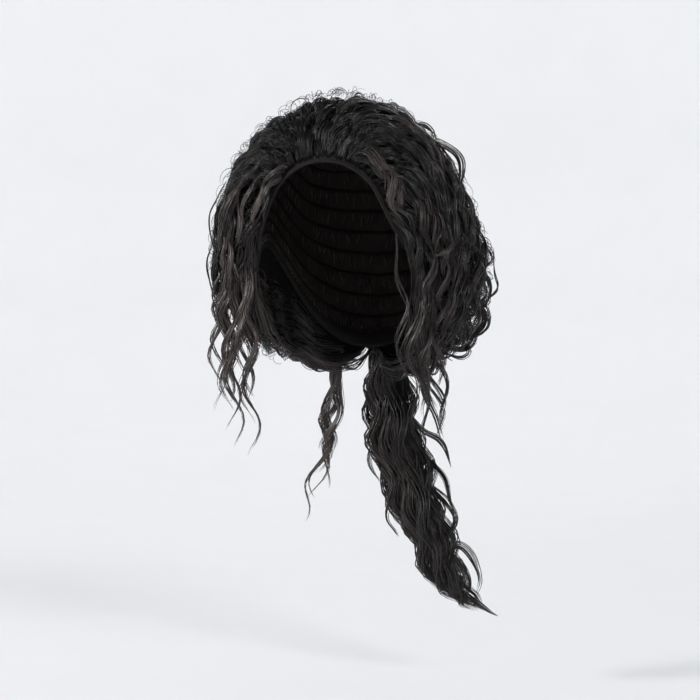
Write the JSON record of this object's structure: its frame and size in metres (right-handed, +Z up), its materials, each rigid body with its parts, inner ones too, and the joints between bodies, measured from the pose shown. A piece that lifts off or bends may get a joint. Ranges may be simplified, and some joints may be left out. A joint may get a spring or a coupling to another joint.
{
  "type": "long curly wig",
  "caption": "Long black wavy wig swept back from the forehead: a net cap with sections of hair, loose face locks and a low ponytail gathered by an elastic tie.",
  "frame": {"origin": "highest point inside the cap, where the crown of the head sits", "axes": "+Z up, -Y the way the face looks, +X the wearer's left"},
  "size_m": [0.2282, 0.2232, 0.4297],
  "materials": {
    "hair_fibre": "silky black synthetic fibre",
    "cap_net": "matt black stretch net",
    "tie_elastic": "matt braided elastic"
  },
  "bodies": {
    "root": {"cap": "cap_net", "crown_hair": "hair_fibre", "left_side_hair": "hair_fibre", "right_side_hair": "hair_fibre", "left_front_hair": "hair_fibre", "right_front_hair": "hair_fibre", "hair_tie": "tie_elastic", "ponytail": "hair_fibre"}
  },
  "joints": []
}
